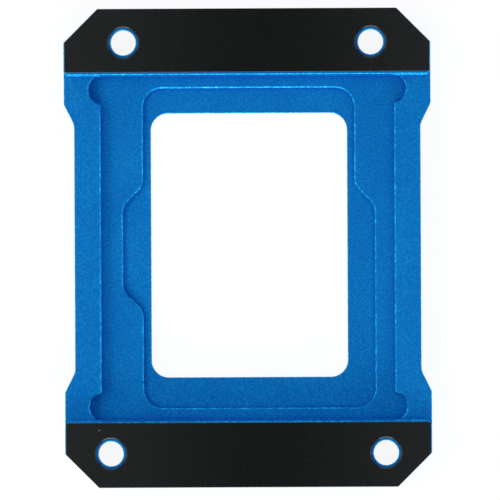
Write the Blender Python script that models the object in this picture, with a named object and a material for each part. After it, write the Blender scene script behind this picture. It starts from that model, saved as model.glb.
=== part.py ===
# Socket retention frame: one milled aluminium plate with an insulating pad stuck on each end.
# It lies on its cooler face with the board face up. X is its width, Y its length, Z its height.
# The plan grows outward from the window, wall by wall, and the height grows up from the cooler face.
from math import acos, ceil, cos, radians, sin, sqrt, tan

import bmesh
import bpy
from mathutils import Matrix, Vector

# Window, cut right through for the processor's lid
WINDOW_WIDTH = 0.0289
WINDOW_LENGTH = 0.0389
WINDOW_CORNER_RADIUS = 0.0025
WINDOW_SHIFT_X = 0.00005
WINDOW_SHIFT_Y = 0.0004

# Recess around the window, whose floor presses on the lid's flange
LEDGE_SIDE_WIDTH = 0.00111
LEDGE_END_WIDTH = 0.00411
RECESS_CORNER_RADIUS = 0.00285
RECESS_SHIFT_X = 0.00015
EAR_REACH = 0.003
EAR_HALF_LENGTH = 0.0062
EAR_BEND_RADIUS = 0.0025

# Pocket around the recess, which clears the socket, with a round relief at each corner
SHELF_SIDE_WIDTH = 0.00606
SHELF_END_WIDTH = 0.00169
RELIEF_RADIUS = 0.0021
RELIEF_SIDE_DISTANCE = 0.00034
RELIEF_END_ANGLE = radians(45)
RELIEF_STRAIGHT_RISE = 0.000355
RELIEF_LIP_RADIUS = 0.0003

# Rails, end blocks and outline
RAIL_WIDTH = 0.00388
WAIST_INSET = 0.0015
SHOULDER_SETBACK = 0.0043
SHOULDER_LENGTH = 0.003
SHOULDER_RADIUS = 0.001
WAIST_RADIUS = 0.002
BLOCK_SETBACK = 0.00025
BLOCK_LENGTH = 0.00975
BLOCK_FOOT_RADIUS = 0.0002
BLOCK_CORNER_CUT = 0.0005
CORNER_CUT = 0.005
CORNER_RADIUS = 0.0004

# Heights of the levels, each counted from the one below it
LEDGE_THICKNESS = 0.001
RECESS_DEPTH = 0.0009
POCKET_DEPTH = 0.002
RAIL_STEP = 0.0016

# Screw holes, with a bore for the screw head on the cooler face
SCREW_END_DISTANCE = 0.00501
UPPER_SCREW_SIDE_DISTANCE = 0.0088
LOWER_SCREW_SIDE_DISTANCE = 0.00675
SCREW_DIAMETER = 0.0037
SCREW_WEB = 0.0031
HEAD_DIAMETER = 0.007

# Widths of the broken edges, all at 45 degrees
EDGE_BREAK = 0.00015
RAIL_EDGE_BREAK = 0.0001
RIM_BREAK = 0.0002
WINDOW_RIM_BREAK = 0.0001
WINDOW_FACE_BREAK = 0.0003
MOUTH_BREAK = 0.00012

# Insulating pads
PAD_THICKNESS = 0.0004
PAD_GLUE_GAP = 0.0001
PAD_SIDE_INSET = 0.00012
PAD_END_INSET = 0.00002
PAD_CUT_INSET = 0.00003
UPPER_PAD_BACKSET = 0.00023
LOWER_PAD_BACKSET = 0.00005
PAD_CORNER_RADIUS = 0.0003
PAD_HOLE_CLEARANCE = 0.00035
PAD_HOLE_ROLL = 0.0003
PAD_EDGE_ROLL = 0.00008

# A cutter runs out past the face it cuts, and its bevelled edge runs past the edge it breaks
RUN_OUT = 0.001
BEVEL_RUN_OUT = 0.00005

# The tool that flattens the foot over the pocket stops this short of the rails and the block walls
FOOT_CUT_GAP = 0.00001

# The rail edge cutter's bends are this much rounder than the plate's, so that no corner points meet
RAIL_EDGE_EASE = 0.00015

# Fineness of arcs and rolled edges, and the smallest radius that an outline keeps
ARC_STEP = radians(6)
ROLL_STEPS = 4
SMALLEST_RADIUS = 0.00001
MERGE_DISTANCE = 0.0000001
CUT_MERGE_DISTANCE = 0.000001
SMOOTH_ANGLE = radians(30)

# Colours in linear values
ANODISED_BLUE = (0.0044, 0.1714, 0.5149, 1.0)
PAD_BLACK = (0.0144, 0.0154, 0.0160, 1.0)

# Half sizes in plan, each built on the one before
RECESS_HALF_WIDTH = WINDOW_WIDTH / 2 + LEDGE_SIDE_WIDTH
RECESS_HALF_LENGTH = WINDOW_LENGTH / 2 + LEDGE_END_WIDTH
POCKET_HALF_WIDTH = RECESS_HALF_WIDTH + SHELF_SIDE_WIDTH
POCKET_HALF_LENGTH = RECESS_HALF_LENGTH + SHELF_END_WIDTH
WAIST_HALF_WIDTH = POCKET_HALF_WIDTH + RAIL_WIDTH
FRAME_HALF_WIDTH = WAIST_HALF_WIDTH + WAIST_INSET
BLOCK_WALL_Y = POCKET_HALF_LENGTH + BLOCK_SETBACK
FRAME_HALF_LENGTH = BLOCK_WALL_Y + BLOCK_LENGTH
SHOULDER_Y = BLOCK_WALL_Y - SHOULDER_SETBACK
WAIST_END_Y = SHOULDER_Y - SHOULDER_LENGTH

# Levels
POCKET_FLOOR_Z = LEDGE_THICKNESS + RECESS_DEPTH
RAIL_Z = POCKET_FLOOR_Z + POCKET_DEPTH
BLOCK_Z = RAIL_Z + RAIL_STEP
HEAD_SEAT_Z = BLOCK_Z - SCREW_WEB
PAD_Z = BLOCK_Z + PAD_GLUE_GAP
TOP_Z = PAD_Z + PAD_THICKNESS

# Ends of the board face, named as the plate lies
UPPER_END = 1
LOWER_END = -1
END_SCREW_X = {
    UPPER_END: FRAME_HALF_WIDTH - UPPER_SCREW_SIDE_DISTANCE,
    LOWER_END: FRAME_HALF_WIDTH - LOWER_SCREW_SIDE_DISTANCE,
}
SCREW_Y = FRAME_HALF_LENGTH - SCREW_END_DISTANCE


def clear_scene():
    for item in list(bpy.data.objects):
        bpy.data.objects.remove(item, do_unlink=True)


def principled(name, colour, metallic, roughness):
    material = bpy.data.materials.new(name)
    material.use_nodes = True
    shader = material.node_tree.nodes["Principled BSDF"]
    shader.inputs["Base Color"].default_value = colour
    shader.inputs["Metallic"].default_value = metallic
    shader.inputs["Roughness"].default_value = roughness
    material.diffuse_color = colour
    return material


def sides_of_corner(corners, index):
    """A corner, the directions to its two neighbours and half the angle between them."""
    corner = Vector(corners[index][:2])
    back = (Vector(corners[index - 1][:2]) - corner).normalized()
    ahead = (Vector(corners[(index + 1) % len(corners)][:2]) - corner).normalized()
    return corner, back, ahead, back.angle(ahead) / 2


def offset(corners, distance):
    """An anticlockwise outline of (x, y, radius) corners moved outward, its radii with it."""
    moved = []
    for index, (_, _, radius) in enumerate(corners):
        corner, back, ahead, half_angle = sides_of_corner(corners, index)
        outward = 1 if ahead.cross(back) > 0 else -1
        place = corner - (back + ahead).normalized() * (outward * distance / sin(half_angle))
        if radius:
            radius = max(radius + outward * distance, SMALLEST_RADIUS)
        moved.append((place.x, place.y, radius))
    return moved


def rounded(corners, height):
    """The points of an outline at one height, with an arc round each corner that has a radius."""
    points = []
    for index, (x, y, radius) in enumerate(corners):
        if not radius:
            points.append((x, y, height))
            continue
        corner, back, ahead, half_angle = sides_of_corner(corners, index)
        centre = corner + (back + ahead).normalized() * (radius / sin(half_angle))
        spoke = corner + back * (radius / tan(half_angle)) - centre
        turn = radians(180) - 2 * half_angle
        steps = ceil(turn / ARC_STEP)
        direction = 1 if ahead.cross(back) > 0 else -1
        for step in range(steps + 1):
            place = centre + Matrix.Rotation(direction * turn * step / steps, 2) @ spoke
            points.append((place.x, place.y, height))
    return points


def mirrored(right_half):
    """A whole outline from its right half, which is listed upward."""
    return right_half + [(-x, y, radius) for x, y, radius in reversed(right_half)]


def quartered(upper_quarter):
    """A whole outline from its upper right quarter, which is listed upward."""
    return mirrored([(x, -y, radius) for x, y, radius in reversed(upper_quarter)] + upper_quarter)


def new_object(name, builder):
    mesh = bpy.data.meshes.new(name)
    builder.to_mesh(mesh)
    builder.free()
    item = bpy.data.objects.new(name, mesh)
    bpy.context.collection.objects.link(item)
    return item


def stack(name, corners, levels):
    """A solid that follows one outline, offset by the first value of each level at the second."""
    builder = bmesh.new()
    rings = []
    for distance, height in levels:
        rings.append([builder.verts.new(point) for point in rounded(offset(corners, distance), height)])
    for lower, upper in zip(rings, rings[1:]):
        for index in range(len(lower)):
            builder.faces.new((lower[index - 1], lower[index], upper[index], upper[index - 1]))
    builder.faces.new(reversed(rings[0]))
    builder.faces.new(rings[-1])
    bmesh.ops.remove_doubles(builder, verts=builder.verts, dist=MERGE_DISTANCE)
    return new_object(name, builder)


def turned(name, x, y, profile):
    """A solid turned on an upright axis, from (radius, height) pairs listed upward."""
    builder = bmesh.new()
    section = [(0.0, profile[0][1])] + profile + [(0.0, profile[-1][1])]
    verts = [builder.verts.new((x + radius, y, height)) for radius, height in section]
    edges = [builder.edges.new(pair) for pair in zip(verts, verts[1:])]
    bmesh.ops.spin(
        builder, geom=verts + edges, cent=(x, y, 0.0), axis=(0.0, 0.0, 1.0),
        angle=radians(360), steps=ceil(radians(360) / ARC_STEP), use_merge=True)
    bmesh.ops.remove_doubles(builder, verts=builder.verts, dist=MERGE_DISTANCE)
    bmesh.ops.recalc_face_normals(builder, faces=builder.faces)
    return new_object(name, builder)


def cut(body, cutters):
    """Cuts the cutters out of a body, keeps the result without doubled points and removes the cutters."""
    for cutter in cutters:
        cutter.hide_render = True
        cutter.display_type = "WIRE"
        modifier = body.modifiers.new(cutter.name, "BOOLEAN")
        modifier.operation = "DIFFERENCE"
        modifier.solver = "EXACT"
        modifier.object = cutter
    graph = bpy.context.evaluated_depsgraph_get()
    body.data = bpy.data.meshes.new_from_object(body.evaluated_get(graph))
    body.data.name = body.name
    body.modifiers.clear()
    builder = bmesh.new()
    builder.from_mesh(body.data)
    bmesh.ops.remove_doubles(builder, verts=builder.verts, dist=CUT_MERGE_DISTANCE)
    bmesh.ops.dissolve_degenerate(builder, dist=CUT_MERGE_DISTANCE, edges=builder.edges)
    builder.to_mesh(body.data)
    builder.free()
    for cutter in cutters:
        bpy.data.objects.remove(cutter, do_unlink=True)


def finish(body, material):
    """Smooths the round faces, keeps the edges crisp and gives the body its material."""
    body.data.shade_smooth()
    body.data.set_sharp_from_angle(angle=SMOOTH_ANGLE)
    body.data.materials.clear()
    body.data.materials.append(material)


def pocket_levels(floor_z, rim_z, rim_break):
    """Levels of a pocket cutter: straight walls, a broken rim and a run out above it."""
    past_rim = rim_break + BEVEL_RUN_OUT
    return [
        (0.0, floor_z),
        (0.0, rim_z - rim_break),
        (past_rim, rim_z + BEVEL_RUN_OUT),
        (past_rim, BLOCK_Z + RUN_OUT),
    ]


def plate_blank():
    """The plate at full height: a rectangle with cut corners and a waist along each side."""
    corners = quartered([
        (WAIST_HALF_WIDTH, WAIST_END_Y, WAIST_RADIUS),
        (FRAME_HALF_WIDTH, SHOULDER_Y, SHOULDER_RADIUS),
        (FRAME_HALF_WIDTH, FRAME_HALF_LENGTH - CORNER_CUT, CORNER_RADIUS),
        (FRAME_HALF_WIDTH - CORNER_CUT, FRAME_HALF_LENGTH, CORNER_RADIUS),
    ])
    return stack("machined_frame", corners, [
        (-EDGE_BREAK, 0.0),
        (0.0, EDGE_BREAK),
        (0.0, BLOCK_Z - EDGE_BREAK),
        (-EDGE_BREAK, BLOCK_Z),
    ])


def rail_step_cutter():
    """Lowers the rails between the end blocks, whose walls get a filleted foot and cut corners."""
    wall_end_x = FRAME_HALF_WIDTH - BLOCK_CORNER_CUT
    far_x = FRAME_HALF_WIDTH + RUN_OUT
    corners = quartered([
        (far_x, BLOCK_WALL_Y + far_x - wall_end_x, 0.0),
        (wall_end_x, BLOCK_WALL_Y, 0.0),
    ])
    foot = []
    for step in range(ROLL_STEPS + 1):
        angle = radians(90) * step / ROLL_STEPS
        foot.append((BLOCK_FOOT_RADIUS * (sin(angle) - 1), RAIL_Z + BLOCK_FOOT_RADIUS * (1 - cos(angle))))
    top = [
        (0.0, BLOCK_Z - EDGE_BREAK),
        (EDGE_BREAK + RUN_OUT, BLOCK_Z + RUN_OUT),
    ]
    return stack("rail_step_cutter", corners, foot + top)


def rail_edge_cutter(side):
    """Breaks the outer top edge of one rail, along the waist from block to block."""
    end_y = BLOCK_WALL_Y - RAIL_EDGE_BREAK - BEVEL_RUN_OUT
    half = [
        (WAIST_HALF_WIDTH, WAIST_END_Y, WAIST_RADIUS + RAIL_EDGE_EASE),
        (FRAME_HALF_WIDTH, SHOULDER_Y, SHOULDER_RADIUS + RAIL_EDGE_EASE),
        (FRAME_HALF_WIDTH, end_y, 0.0),
        (FRAME_HALF_WIDTH + 2 * RUN_OUT, end_y, 0.0),
    ]
    upward = [(x, -y, radius) for x, y, radius in reversed(half)] + half
    corners = [(side * x, y, radius) for x, y, radius in upward]
    if side > 0:
        corners.reverse()
    return stack("rail_edge_cutter", corners, [
        (-BEVEL_RUN_OUT, RAIL_Z - RAIL_EDGE_BREAK - BEVEL_RUN_OUT),
        (RAIL_EDGE_BREAK + BEVEL_RUN_OUT, RAIL_Z + BEVEL_RUN_OUT),
        (RAIL_EDGE_BREAK + BEVEL_RUN_OUT, RAIL_Z + RUN_OUT),
    ])


def pocket_outline(half_length):
    """A rectangle whose corners are opened by four round reliefs, each running straight to the end."""
    centre_x = POCKET_HALF_WIDTH - RELIEF_SIDE_DISTANCE
    centre_y = POCKET_HALF_LENGTH - RELIEF_STRAIGHT_RISE - RELIEF_RADIUS * sin(RELIEF_END_ANGLE)
    lip_cosine = (RELIEF_SIDE_DISTANCE + RELIEF_LIP_RADIUS) / (RELIEF_RADIUS + RELIEF_LIP_RADIUS)
    lip_angle = -acos(lip_cosine)
    lip_y = centre_y + (RELIEF_RADIUS - RELIEF_SIDE_DISTANCE * lip_cosine) / sin(lip_angle)
    middle_angle = (lip_angle + RELIEF_END_ANGLE) / 2
    reach = RELIEF_RADIUS / cos(RELIEF_END_ANGLE - middle_angle)
    end_rise = (half_length - centre_y) * sin(RELIEF_END_ANGLE)
    return quartered([
        (POCKET_HALF_WIDTH, lip_y, RELIEF_LIP_RADIUS),
        (centre_x + reach * cos(middle_angle), centre_y + reach * sin(middle_angle), RELIEF_RADIUS),
        (centre_x + (RELIEF_RADIUS - end_rise) / cos(RELIEF_END_ANGLE), half_length, 0.0),
    ])


def pocket_cutter():
    """Clears the socket with straight walls."""
    corners = pocket_outline(POCKET_HALF_LENGTH)
    return stack("pocket_cutter", corners, [(0.0, POCKET_FLOOR_Z), (0.0, BLOCK_Z + RUN_OUT)])


def pocket_rim_cutter():
    """Breaks the pocket's rim along the sides and reliefs, but not where the end blocks stand close."""
    past_rim = RIM_BREAK + BEVEL_RUN_OUT
    corners = pocket_outline(POCKET_HALF_LENGTH - past_rim - BEVEL_RUN_OUT)
    return stack("pocket_rim_cutter", corners, [
        (-BEVEL_RUN_OUT, RAIL_Z - past_rim),
        (past_rim, RAIL_Z + BEVEL_RUN_OUT),
        (past_rim, BLOCK_Z + RUN_OUT),
    ])


def pocket_foot_cutter():
    """Takes the fillet off the foot of the block walls where they stand over the pocket."""
    corners = quartered([(POCKET_HALF_WIDTH, BLOCK_WALL_Y - FOOT_CUT_GAP, 0.0)])
    return stack("pocket_foot_cutter", corners, [(0.0, RAIL_Z + FOOT_CUT_GAP), (0.0, BLOCK_Z + RUN_OUT)])


def recess_cutter():
    """Seats the lid's flange: wider at mid length on the left and over the lower half on the right."""
    right = RECESS_SHIFT_X + RECESS_HALF_WIDTH
    left = RECESS_SHIFT_X - RECESS_HALF_WIDTH
    bend_y = EAR_HALF_LENGTH + EAR_REACH
    corners = [
        (right + EAR_REACH, -RECESS_HALF_LENGTH, RECESS_CORNER_RADIUS),
        (right + EAR_REACH, EAR_HALF_LENGTH, EAR_BEND_RADIUS),
        (right, bend_y, EAR_BEND_RADIUS),
        (right, RECESS_HALF_LENGTH, RECESS_CORNER_RADIUS),
        (left, RECESS_HALF_LENGTH, RECESS_CORNER_RADIUS),
        (left, bend_y, EAR_BEND_RADIUS),
        (left - EAR_REACH, EAR_HALF_LENGTH, EAR_BEND_RADIUS),
        (left - EAR_REACH, -EAR_HALF_LENGTH, EAR_BEND_RADIUS),
        (left, -bend_y, EAR_BEND_RADIUS),
        (left, -RECESS_HALF_LENGTH, RECESS_CORNER_RADIUS),
    ]
    return stack("recess_cutter", corners, pocket_levels(LEDGE_THICKNESS, POCKET_FLOOR_Z, RIM_BREAK))


def window_cutter():
    """Opens the window, with both of its rims broken."""
    middle_x = RECESS_SHIFT_X + WINDOW_SHIFT_X
    quarter = [(WINDOW_WIDTH / 2, WINDOW_LENGTH / 2, WINDOW_CORNER_RADIUS)]
    corners = [(middle_x + x, WINDOW_SHIFT_Y + y, radius) for x, y, radius in quartered(quarter)]
    lower_rim = [(WINDOW_FACE_BREAK + BEVEL_RUN_OUT, -BEVEL_RUN_OUT)]
    walls = pocket_levels(WINDOW_FACE_BREAK, LEDGE_THICKNESS, WINDOW_RIM_BREAK)
    return stack("window_cutter", corners, lower_rim + walls)


def screw_hole_cutter(x, y):
    """Drills one screw hole from face to face, with both of its mouths broken."""
    past_mouth = MOUTH_BREAK + BEVEL_RUN_OUT
    return turned("screw_hole_cutter", x, y, [
        (HEAD_DIAMETER / 2 + past_mouth, -BEVEL_RUN_OUT),
        (HEAD_DIAMETER / 2, MOUTH_BREAK),
        (HEAD_DIAMETER / 2, HEAD_SEAT_Z),
        (SCREW_DIAMETER / 2, HEAD_SEAT_Z),
        (SCREW_DIAMETER / 2, BLOCK_Z - MOUTH_BREAK),
        (SCREW_DIAMETER / 2 + past_mouth, BLOCK_Z + BEVEL_RUN_OUT),
    ])


def machined_frame(material):
    """The plate, milled from its blank level by level and then drilled."""
    frame = plate_blank()
    cutters = [
        rail_step_cutter(), rail_edge_cutter(1), rail_edge_cutter(-1),
        pocket_foot_cutter(), pocket_cutter(), pocket_rim_cutter(),
        recess_cutter(), window_cutter(),
    ]
    for end, screw_x in END_SCREW_X.items():
        cutters += [screw_hole_cutter(side * screw_x, end * SCREW_Y) for side in (1, -1)]
    cut(frame, cutters)
    finish(frame, material)


def pad_hole_cutter(x, y):
    """Punches one hole in a pad and draws its top edge down in a roll."""
    radius = SCREW_DIAMETER / 2 + PAD_HOLE_CLEARANCE
    profile = [(radius, PAD_Z - RUN_OUT)]
    roll_foot = TOP_Z + BEVEL_RUN_OUT / ROLL_STEPS - PAD_HOLE_ROLL
    for step in range(ROLL_STEPS + 1):
        angle = radians(90) * step / ROLL_STEPS
        profile.append((radius + PAD_HOLE_ROLL * (1 - cos(angle)), roll_foot + PAD_HOLE_ROLL * sin(angle)))
    profile.append((radius + PAD_HOLE_ROLL, TOP_Z + RUN_OUT))
    return turned("pad_hole_cutter", x, y, profile)


def insulating_pad(name, end, backset, material):
    """A die-cut pad on one end block, a little inside the block's own outline."""
    side_x = FRAME_HALF_WIDTH - PAD_SIDE_INSET
    end_y = FRAME_HALF_LENGTH - PAD_END_INSET
    cut_sum = FRAME_HALF_WIDTH + FRAME_HALF_LENGTH - CORNER_CUT - PAD_CUT_INSET * sqrt(2)
    corners = mirrored([
        (side_x, BLOCK_WALL_Y + EDGE_BREAK + backset, PAD_CORNER_RADIUS),
        (side_x, cut_sum - side_x, PAD_CORNER_RADIUS),
        (cut_sum - end_y, end_y, PAD_CORNER_RADIUS),
    ])
    if end == LOWER_END:
        corners = [(x, -y, radius) for x, y, radius in reversed(corners)]
    rolled_edge = []
    for step in range(ROLL_STEPS + 1):
        angle = radians(90) * step / ROLL_STEPS
        rolled_edge.append((PAD_EDGE_ROLL * (cos(angle) - 1), TOP_Z - PAD_EDGE_ROLL * (1 - sin(angle))))
    pad = stack(name, corners, [(0.0, PAD_Z)] + rolled_edge)
    cut(pad, [pad_hole_cutter(side * END_SCREW_X[end], end * SCREW_Y) for side in (1, -1)])
    finish(pad, material)


clear_scene()
machined_frame(principled("anodised_blue_aluminium", ANODISED_BLUE, 1.0, 0.42))
pad_black = principled("black_insulating_film", PAD_BLACK, 0.0, 0.45)
insulating_pad("upper_insulating_pad", UPPER_END, UPPER_PAD_BACKSET, pad_black)
insulating_pad("lower_insulating_pad", LOWER_END, LOWER_PAD_BACKSET, pad_black)
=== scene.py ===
# %% [markdown]
# # A socket retention frame in blue anodised aluminium
#
# The object is a flat metal frame that holds a processor in its socket. It is milled from one plate of
# aluminium, bead-blasted, and anodised blue, and a black film pad is stuck on each end. It lies on its cooler
# face, so the side that meets the circuit board looks up at the camera.
#
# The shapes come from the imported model. This file adds what a photograph shows beyond shape: the view, the
# light, the finish of the metal and of the film, and the thin layer of glue under each pad.

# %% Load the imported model
from math import radians

import bmesh
import bpy
from mathutils import Euler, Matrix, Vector


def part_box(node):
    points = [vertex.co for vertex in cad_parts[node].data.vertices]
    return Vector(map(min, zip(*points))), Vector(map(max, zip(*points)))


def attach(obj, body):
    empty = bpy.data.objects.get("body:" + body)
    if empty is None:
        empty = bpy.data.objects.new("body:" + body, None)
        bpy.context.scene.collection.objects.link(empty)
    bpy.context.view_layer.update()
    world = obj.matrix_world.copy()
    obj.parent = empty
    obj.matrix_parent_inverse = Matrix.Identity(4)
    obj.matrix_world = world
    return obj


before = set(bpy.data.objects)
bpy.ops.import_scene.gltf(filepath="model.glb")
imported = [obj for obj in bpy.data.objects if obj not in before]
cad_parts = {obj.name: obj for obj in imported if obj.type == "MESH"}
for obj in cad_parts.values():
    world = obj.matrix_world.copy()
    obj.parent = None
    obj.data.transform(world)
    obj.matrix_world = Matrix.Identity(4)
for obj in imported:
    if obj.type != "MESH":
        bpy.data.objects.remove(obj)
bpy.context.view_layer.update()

MILLIMETRE = 0.001

for name in sorted(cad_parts):
    low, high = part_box(name)
    size = [round((h - l) / MILLIMETRE, 2) for l, h in zip(low, high)]
    print(f"{name}: {size} mm")

# %% [markdown]
# ## Helpers
#
# Colours are written as the hex values that a screen shows. A renderer counts light, so each channel is turned
# into a linear value first. The second helper adds one node to a material: it sets the node's options, and
# gives each named socket either a value or a link from another node. The third adds a colour ramp, which turns
# a number between 0 and 1 into a colour. The fourth stretches or squeezes one span of numbers into another, and
# it is mostly used on noise, whose values nearly all lie in NOISE_SPAN.

# %% Colour and node helpers
NOISE_SPAN = (0.3, 0.7)


def linear(hex_colour):
    """A colour such as #2F70C0 as the linear red, green, blue and alpha that a renderer works in."""
    channels = [int(hex_colour[start:start + 2], 16) / 255 for start in (1, 3, 5)]
    return [c / 12.92 if c <= 0.04045 else ((c + 0.055) / 1.055) ** 2.4 for c in channels] + [1.0]


def add_node(tree, kind, sockets, **settings):
    """A node with its settings, whose sockets take a value, or a link where an output socket is given."""
    node = tree.nodes.new("ShaderNode" + kind)
    for name, value in settings.items():
        setattr(node, name, value)
    for name, value in sockets.items():
        if isinstance(value, bpy.types.NodeSocket):
            tree.links.new(value, node.inputs[name])
        else:
            node.inputs[name].default_value = value
    return node


def add_ramp(tree, factor, colours):
    """A colour ramp, from a link and the hex colours at their positions."""
    node = add_node(tree, "ValToRGB", {"Fac": factor})
    steps = node.color_ramp.elements
    while len(steps) < len(colours):
        steps.new(1.0)
    for step, (position, hex_colour) in zip(steps, colours.items()):
        step.position = position
        step.color = linear(hex_colour)
    return node


def add_range(tree, value, source, target, **settings):
    """A link whose value runs over the target span while the given one runs over the source span."""
    node = add_node(tree, "MapRange", {
        "Value": value,
        "From Min": source[0],
        "From Max": source[1],
        "To Min": target[0],
        "To Max": target[1],
    }, **settings)
    return node.outputs["Result"]


print("a mid grey of #808080 is", round(linear("#808080")[0], 3), "in linear light")

# %% [markdown]
# ## Camera
#
# The photograph is taken from straight above and from far away, with a long lens, so the walls of the pockets
# hardly show. The scale follows from the plate: its 54 mm width covers 366.7 of the picture's 500 pixels. The
# camera stands a touch to the right of the middle and is rolled by a quarter of a degree, as the near and far
# rims of the screw holes show.

# %% Camera
PICTURE_PIXELS = 500
PIXELS_PER_MM = 6.79
CAMERA_DISTANCE = 2.4
CAMERA_TILT = radians(0.56)
CAMERA_ROLL = radians(-0.27)
CAMERA_AIM = Vector((0.31, -0.32, 3.0)) * MILLIMETRE
CLIP_NEAR = 0.01
CLIP_FAR = 20.0

camera_data = bpy.data.cameras.new("camera")
camera = bpy.data.objects.new("camera", camera_data)
bpy.context.scene.collection.objects.link(camera)
turn = Euler((0.0, CAMERA_TILT, CAMERA_ROLL))
camera.rotation_euler = turn
camera.location = CAMERA_AIM + turn.to_matrix() @ Vector((0.0, 0.0, CAMERA_DISTANCE))
view_width = PICTURE_PIXELS / PIXELS_PER_MM * MILLIMETRE
camera_data.lens = camera_data.sensor_width * CAMERA_DISTANCE / view_width
camera_data.clip_start = CLIP_NEAR
camera_data.clip_end = CLIP_FAR
bpy.context.scene.camera = camera
print(f"the view is {view_width / MILLIMETRE:.1f} mm wide, through a lens of {camera_data.lens:.0f} mm")

# %% [markdown]
# ## Floor and background
#
# The product lies on white card. A wide floor takes its shadow, and a world of even, slightly cool light
# stands around it, as in a room with a north window.
#
# Most of the card's white is a glow that only rays from the camera, or by way of a glossy or clear surface,
# can see. So the card is as white in the picture as in the photograph, nearly as white inside the screw
# holes, and no more light falls on the object for it. The rest is the lamps' light on the card's own colour.
# That colour is kept so low that both together are only just white, which is why the object's shadow still
# shows on it.

# %% Floor and background
CARD_COLOUR = "#464646"
CARD_GLOW = 0.915
CARD_ROUGHNESS = 0.9
CARD_SHINE = 0.2
FLOOR_SIZE = 12.0
FLOOR_GAP = 0.05 * MILLIMETRE

bpy.ops.object.select_all(action="DESELECT")
bpy.ops.mesh.primitive_plane_add(size=FLOOR_SIZE, location=(0.0, 0.0, -FLOOR_GAP))
floor = bpy.context.object
floor.name = "floor"

card = bpy.data.materials.new("white_card")
card.use_nodes = True
path = add_node(card.node_tree, "LightPath", {})
camera_or_glossy = add_node(card.node_tree, "Math", {
    0: path.outputs["Is Camera Ray"],
    1: path.outputs["Is Glossy Ray"],
}, operation="ADD")
seen = add_node(card.node_tree, "Math", {
    0: camera_or_glossy.outputs[0],
    1: path.outputs["Is Transmission Ray"],
}, operation="ADD", use_clamp=True)
glow = add_node(card.node_tree, "Math", {0: seen.outputs[0], 1: CARD_GLOW}, operation="MULTIPLY")
card_shader = card.node_tree.nodes["Principled BSDF"]
card_shader.inputs["Base Color"].default_value = linear(CARD_COLOUR)
card_shader.inputs["Roughness"].default_value = CARD_ROUGHNESS
card_shader.inputs["Specular IOR Level"].default_value = CARD_SHINE
card_shader.inputs["Emission Color"].default_value = linear("#FFFFFF")
card.node_tree.links.new(glow.outputs[0], card_shader.inputs["Emission Strength"])
floor.data.materials.append(card)

WORLD_COLOUR = "#CCE2FF"
WORLD_STRENGTH = 0.64
world = bpy.data.worlds.new("white_room")
bpy.context.scene.world = world
world.use_nodes = True
background = world.node_tree.nodes["Background"]
background.inputs["Color"].default_value = linear(WORLD_COLOUR)
background.inputs["Strength"].default_value = WORLD_STRENGTH

bpy.context.scene.view_settings.view_transform = "Standard"
print(f"floor {FLOOR_SIZE} m wide, world at {WORLD_STRENGTH}")

# %% [markdown]
# ## Light
#
# Broken edges that face the bottom of the photograph shine three to four times as bright as the flats, those
# that face its sides one and a half times, and those that face its top are dimmer than the flats. A matte
# metal throws most of its light near the mirror direction, so an edge at 45 degrees looks bright when a light
# stands low before it. So the strongest softbox stands low in front, weaker ones stand low at the sides, and
# higher ones light the flats. Each is a rectangle aimed at the middle of the object, out of the camera's sight.
#
# The front and left ones are a little warmer than the room: what they light leans to cyan, and what they can't
# reach stays deep blue.

# %% Softboxes
NEUTRAL_WHITE = "#FFFFFF"
WARM_WHITE = "#FFFFEE"
SOFTBOX_WIDTH = 1.2
SOFTBOX_HEIGHT = 0.5


def softbox(name, place, watts, colour):
    """An area lamp that looks at the object."""
    lamp = bpy.data.lights.new(name, "AREA")
    lamp.shape = "RECTANGLE"
    lamp.size = SOFTBOX_WIDTH
    lamp.size_y = SOFTBOX_HEIGHT
    lamp.energy = watts
    lamp.color = linear(colour)[:3]
    item = bpy.data.objects.new(name, lamp)
    bpy.context.scene.collection.objects.link(item)
    item.location = place
    item.rotation_euler = (-Vector(place)).to_track_quat("-Z", "Y").to_euler()
    item.visible_camera = False
    print(f"{name}: {watts} W from {place}")


softbox("front_low_softbox", (0.0, -1.25, 0.48), 23.5, WARM_WHITE)
softbox("front_high_softbox", (0.0, -1.0, 0.85), 3.0, WARM_WHITE)
softbox("left_low_softbox", (-1.25, 0.0, 0.42), 5.8, WARM_WHITE)
softbox("left_high_softbox", (-0.9, 0.0, 0.9), 7.2, WARM_WHITE)
softbox("right_low_softbox", (1.25, 0.0, 0.33), 7.3, NEUTRAL_WHITE)
softbox("back_softbox", (0.0, 1.15, 0.5), 4.6, NEUTRAL_WHITE)
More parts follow.
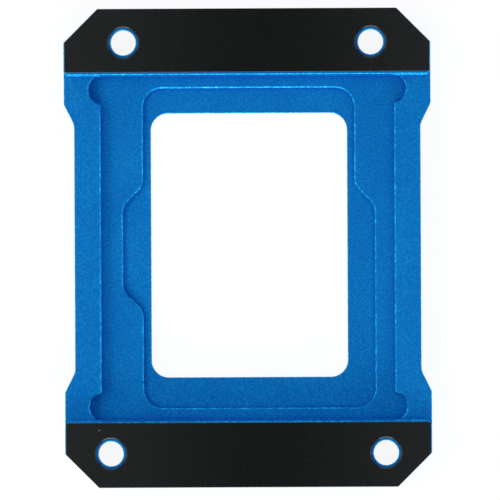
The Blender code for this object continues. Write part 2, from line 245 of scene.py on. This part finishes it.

# %% [markdown]
# ## Blue aluminium
#
# The plate is aluminium alloy, machined, then blasted with fine glass beads and anodised in a blue dye. The
# beads leave a skin of shallow dimples, so the metal has no streaks and no sharp reflections: it glows evenly
# and sparkles a little, grain by grain. The oxide layer is clear blue glass over metal, so the colour is the
# metal's own reflection colour and every highlight is blue to cyan.
#
# The shader is a metal with the default IOR. Two noises on Object coordinates tint it: one as fine as the
# grain, one as wide as a fingertip. The real dimples are about 0.1 mm wide. At this picture's scale that is
# less than a pixel, so they are drawn 0.3 mm wide, which shows as the fine mottling of the photograph.
#
# The broken edges turn from blue towards cyan and glint in short dashes along their length. Both are painted
# highlight: a cyan colour and a brighter noise, laid into the base colour where the edges would catch the
# lamps.
# The surface's own direction tells where they are: it points straight up on the flats, halfway over on an edge,
# and level on a wall, which keeps most of the flats' blue.
#
# The inner corners at the feet of the walls get painted shade. An ambient occlusion node finds these corners,
# and over about a millimetre the metal turns a deeper blue. This stands in for the shade there and for the blue
# light bounced between the walls. The colour begins to turn where the corner hides a twentieth of the sky, and
# has turned where it hides more than half. The pair of sky limits below holds both.

# %% Blue aluminium
GRAIN_WIDTH = 0.31 * MILLIMETRE
CLOUD_WIDTH = 7.0 * MILLIMETRE
GLINT_DASH_WIDTH = 0.5 * MILLIMETRE
SHADE_REACH = 0.75 * MILLIMETRE
PAINTED_SHADE_TINT = "#DAD8FF"
PAINTED_SHADE_SKY = (0.95, 0.4)
DIMPLE_DEPTH = 0.004 * MILLIMETRE
CLOUD_SHARE = 0.25
METAL_ROUGHNESS = (0.62, 0.5)

aluminium = bpy.data.materials.new("bead_blasted_blue_anodised_aluminium")
aluminium.use_nodes = True
tree = aluminium.node_tree
place = add_node(tree, "TexCoord", {})
grain = add_node(tree, "TexNoise", {
    "Vector": place.outputs["Object"],
    "Scale": 1 / GRAIN_WIDTH,
    "Detail": 1.5,
    "Roughness": 0.6,
})
cloud = add_node(tree, "TexNoise", {
    "Vector": place.outputs["Object"],
    "Scale": 1 / CLOUD_WIDTH,
    "Detail": 2.0,
    "Roughness": 0.5,
})
cloud_share = add_node(tree, "Math", {0: cloud.outputs["Fac"], 1: CLOUD_SHARE}, operation="MULTIPLY")
tint = add_node(tree, "Math", {
    0: grain.outputs["Fac"],
    1: cloud_share.outputs[0],
}, operation="ADD")
blue = add_ramp(tree, tint.outputs[0], {0.35: "#0B60AC", 0.64: "#1073B7", 0.95: "#1C8FC8"})

upward = add_node(tree, "SeparateXYZ", {"Vector": place.outputs["Normal"]})
# Painted highlight: in the base colour, the broken edges turn cyan and glint in short dashes.
edge_highlight_mask = add_ramp(tree, upward.outputs["Z"], {
    0.1: "#4C4C4C",
    0.5: "#FFFFFF",
    0.85: "#FFFFFF",
    0.98: "#000000",
})
glint_dash_noise = add_node(tree, "TexNoise", {
    "Vector": place.outputs["Object"],
    "Scale": 1 / GLINT_DASH_WIDTH,
    "Detail": 2.0,
    "Roughness": 0.6,
})
painted_cyan_highlight = add_ramp(tree, glint_dash_noise.outputs["Fac"], {0.35: "#0C6AA4", 0.5: "#1078B1", 0.66: "#1EA6CA"})
blue_with_painted_highlight = add_node(tree, "MixRGB", {
    "Fac": edge_highlight_mask.outputs["Color"],
    "Color1": blue.outputs["Color"],
    "Color2": painted_cyan_highlight.outputs["Color"],
})
# Painted shade: a deeper blue is multiplied into the base colour in the inner corners.
open_sky = add_node(tree, "AmbientOcclusion", {
    "Distance": SHADE_REACH,
}, samples=8, only_local=True)
painted_shade = add_range(tree, open_sky.outputs["AO"], PAINTED_SHADE_SKY, (0.0, 1.0))
metal_colour = add_node(tree, "MixRGB", {
    "Fac": painted_shade,
    "Color1": blue_with_painted_highlight.outputs["Color"],
    "Color2": linear(PAINTED_SHADE_TINT),
}, blend_type="MULTIPLY")
metal_roughness = add_range(tree, grain.outputs["Fac"], NOISE_SPAN, METAL_ROUGHNESS)
dimples = add_node(tree, "Bump", {
    "Strength": 0.6,
    "Distance": DIMPLE_DEPTH,
    "Height": grain.outputs["Fac"],
})
metal = tree.nodes["Principled BSDF"]
metal.inputs["Metallic"].default_value = 1.0
tree.links.new(metal_colour.outputs["Color"], metal.inputs["Base Color"])
tree.links.new(metal_roughness, metal.inputs["Roughness"])
tree.links.new(dimples.outputs["Normal"], metal.inputs["Normal"])

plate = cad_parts["machined_frame"]
plate.data.materials.clear()
plate.data.materials.append(aluminium)
print("blue aluminium: grain scale", round(1 / GRAIN_WIDTH), "per metre")

# %% [markdown]
# ## Black film
#
# The pads are die-cut from black polycarbonate film with a fine satin face. Such film is almost black, a shade
# cooler than neutral, and it returns the light of the room only faintly and without an outline. A fine noise
# varies its shine and its colour a little, and stands for the satin texture. Towards both ends the colour is
# painted a shade paler, a painted sheen for the light that the film returns there.
#
# The die presses the edge of each hole and of the outline round and smooth. There the film reflects four times
# as much as on its face, so the rolled edge catches a glint where it leans towards a lamp. EDGE_LEAN holds the
# upward part of the surface's direction where the roll begins and where it has its full shine.
#
# One pale speck of dust lies on the lower pad, a little in from its left end.

# %% Black film
SATIN_WIDTH = 0.35 * MILLIMETRE
SATIN_DEPTH = 0.0012 * MILLIMETRE
SHEEN_MIDDLE = 2.5 * MILLIMETRE
SHEEN_REACH = 29.0 * MILLIMETRE
SHEEN_SHARE = (0.15, 0.85)
SATIN_SHARE = (-0.15, 0.15)
FILM_ROUGHNESS = (0.38, 0.48)
FACE_REFLECTION = 0.05
EDGE_REFLECTION = 0.22
EDGE_POLISH = 0.6
EDGE_LEAN = (0.99, 0.9)
SPECK_PLACE = Vector((-21.97, -26.76, 6.0)) * MILLIMETRE
SPECK_RADIUS = 0.11 * MILLIMETRE
SPECK_CORE = 0.6
SPECK_COLOUR = "#607380"

film = bpy.data.materials.new("satin_black_polycarbonate_film")
film.use_nodes = True
tree = film.node_tree
place = add_node(tree, "TexCoord", {})
satin = add_node(tree, "TexNoise", {
    "Vector": place.outputs["Object"],
    "Scale": 1 / SATIN_WIDTH,
    "Detail": 2.0,
    "Roughness": 0.6,
})
along = add_node(tree, "SeparateXYZ", {"Vector": place.outputs["Object"]})
# Painted sheen: the film's colour turns paler towards both ends.
from_middle = add_node(tree, "Math", {0: along.outputs["X"], 1: SHEEN_MIDDLE}, operation="SUBTRACT")
to_end = add_node(tree, "Math", {0: from_middle.outputs[0]}, operation="ABSOLUTE")
painted_end_sheen = add_range(tree, to_end.outputs[0], (0.0, SHEEN_REACH), SHEEN_SHARE, interpolation_type="SMOOTHSTEP")
satin_share = add_range(tree, satin.outputs["Fac"], NOISE_SPAN, SATIN_SHARE)
shade = add_node(tree, "Math", {0: painted_end_sheen, 1: satin_share}, operation="ADD")
black = add_ramp(tree, shade.outputs[0], {0.0: "#0A0A09", 1.0: "#1B1B1B"})
from_speck = add_node(tree, "VectorMath", {
    0: place.outputs["Object"],
    1: SPECK_PLACE,
}, operation="DISTANCE")
speck = add_range(tree, from_speck.outputs["Value"], (SPECK_CORE * SPECK_RADIUS, SPECK_RADIUS), (1.0, 0.0))
film_colour = add_node(tree, "MixRGB", {
    "Fac": speck,
    "Color1": black.outputs["Color"],
    "Color2": linear(SPECK_COLOUR),
})
face_roughness = add_range(tree, satin.outputs["Fac"], NOISE_SPAN, FILM_ROUGHNESS)
upward = add_node(tree, "SeparateXYZ", {"Vector": place.outputs["Normal"]})
reflection = add_range(tree, upward.outputs["Z"], EDGE_LEAN, (FACE_REFLECTION, EDGE_REFLECTION))
polish = add_range(tree, upward.outputs["Z"], EDGE_LEAN, (1.0, EDGE_POLISH))
film_roughness = add_node(tree, "Math", {0: face_roughness, 1: polish}, operation="MULTIPLY")
texture = add_node(tree, "Bump", {
    "Strength": 0.5,
    "Distance": SATIN_DEPTH,
    "Height": satin.outputs["Fac"],
})
plastic = tree.nodes["Principled BSDF"]
tree.links.new(film_colour.outputs["Color"], plastic.inputs["Base Color"])
tree.links.new(reflection, plastic.inputs["Specular IOR Level"])
tree.links.new(film_roughness.outputs[0], plastic.inputs["Roughness"])
tree.links.new(texture.outputs["Normal"], plastic.inputs["Normal"])

for name in ("upper_insulating_pad", "lower_insulating_pad"):
    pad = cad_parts[name]
    pad.data.materials.clear()
    pad.data.materials.append(film)
    print("black film on", name)

# %% [markdown]
# ## Glue film
#
# Each pad is stuck down with double-sided adhesive film, a tenth of a millimetre thick, that fills the space
# between the block and the pad. It was laid on the pad's sheet and cut with it, but a clear glue flows back a
# little from a cut edge, so from above it stays hidden and from the side it shows as a fine line.
#
# It could be a copy of the pad made thinner. Here it is modelled as the die cuts it: a flat rectangle whose two
# outer corners are bevelled off, pushed up to its thickness, with two round holes taken out by a Boolean
# modifier. The holes and the outline come from the pad's own box and from the screw places of the plate.

# %% Glue film
GLUE_INSET = 0.2 * MILLIMETRE
GLUE_CLEARANCE = 0.004 * MILLIMETRE
PUNCH_DEPTH = 1.0 * MILLIMETRE
PUNCH_SIDES = 48
CORNER_CUT = 5.0 * MILLIMETRE
GLUE_HOLE_DIAMETER = 5.0 * MILLIMETRE
SCREW_Y = 30.24 * MILLIMETRE
SCREW_X = {"upper": 18.2 * MILLIMETRE, "lower": 20.25 * MILLIMETRE}


def glue_film(end, direction):
    """The adhesive between one pad and its end block, whose outer side lies in the direction given."""
    low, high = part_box(end + "_insulating_pad")
    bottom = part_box("machined_frame")[1][2] + GLUE_CLEARANCE
    thickness = low[2] - GLUE_CLEARANCE - bottom
    width, length = (high[axis] - low[axis] - 2 * GLUE_INSET for axis in (0, 1))
    bpy.ops.object.select_all(action="DESELECT")
    bpy.ops.mesh.primitive_plane_add(size=1.0, location=(0.0, (low[1] + high[1]) / 2, bottom))
    sheet = bpy.context.object
    sheet.name = end + "_adhesive_film"
    sheet.scale = (width, length, 1.0)
    bpy.ops.object.transform_apply(location=True, rotation=True, scale=True)

    bpy.ops.object.mode_set(mode="EDIT")
    mesh = bmesh.from_edit_mesh(sheet.data)
    outer_y = max(vert.co.y * direction for vert in mesh.verts)
    for vert in mesh.verts:
        vert.select_set(vert.co.y * direction > outer_y - GLUE_INSET)
    mesh.select_flush_mode()
    bmesh.update_edit_mesh(sheet.data)
    bpy.ops.mesh.bevel(offset=CORNER_CUT, affect="VERTICES", segments=1)
    bpy.ops.mesh.select_all(action="SELECT")
    bpy.ops.mesh.extrude_region_move(TRANSFORM_OT_translate={"value": (0.0, 0.0, thickness)})
    bpy.ops.mesh.select_all(action="SELECT")
    bpy.ops.mesh.normals_make_consistent(inside=False)
    bpy.ops.object.mode_set(mode="OBJECT")

    for side in (1, -1):
        bpy.ops.object.select_all(action="DESELECT")
        bpy.ops.mesh.primitive_cylinder_add(
            vertices=PUNCH_SIDES, radius=GLUE_HOLE_DIAMETER / 2, depth=PUNCH_DEPTH,
            location=(side * SCREW_X[end], direction * SCREW_Y, bottom))
        punch = bpy.context.object
        bpy.ops.object.select_all(action="DESELECT")
        sheet.select_set(True)
        bpy.context.view_layer.objects.active = sheet
        hole = sheet.modifiers.new("hole", "BOOLEAN")
        hole.operation = "DIFFERENCE"
        hole.solver = "EXACT"
        hole.object = punch
        bpy.ops.object.modifier_apply(modifier=hole.name)
        bpy.data.objects.remove(punch, do_unlink=True)
    return sheet


glue_films = [glue_film("upper", 1), glue_film("lower", -1)]
for sheet in glue_films:
    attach(sheet, "root")
    print(sheet.name, "of", len(sheet.data.polygons), "faces")

# %% [markdown]
# ## Glue material
#
# The adhesive is acrylic, cast as a clear film that looks dark grey between two dark faces. It is a soft
# plastic with a slightly uneven face, so its shine breaks up at the width of the ripples that the coating
# knife leaves, about half a millimetre.

# %% Glue material
RIPPLE_WIDTH = 0.5 * MILLIMETRE
RIPPLE_DEPTH = 0.003 * MILLIMETRE
ACRYLIC_IOR = 1.48
ACRYLIC_ROUGHNESS = 0.4

glue = bpy.data.materials.new("cast_acrylic_adhesive")
glue.use_nodes = True
tree = glue.node_tree
place = add_node(tree, "TexCoord", {})
ripple = add_node(tree, "TexNoise", {
    "Vector": place.outputs["Object"],
    "Scale": 1 / RIPPLE_WIDTH,
    "Detail": 1.0,
})
grey = add_ramp(tree, ripple.outputs["Fac"], {0.3: "#1B1D20", 0.7: "#25282C"})
waves = add_node(tree, "Bump", {
    "Strength": 0.5,
    "Distance": RIPPLE_DEPTH,
    "Height": ripple.outputs["Fac"],
})
acrylic = tree.nodes["Principled BSDF"]
acrylic.inputs["IOR"].default_value = ACRYLIC_IOR
acrylic.inputs["Roughness"].default_value = ACRYLIC_ROUGHNESS
tree.links.new(grey.outputs["Color"], acrylic.inputs["Base Color"])
tree.links.new(waves.outputs["Normal"], acrylic.inputs["Normal"])

for sheet in glue_films:
    sheet.data.materials.append(glue)
print("adhesive on", len(glue_films), "films")
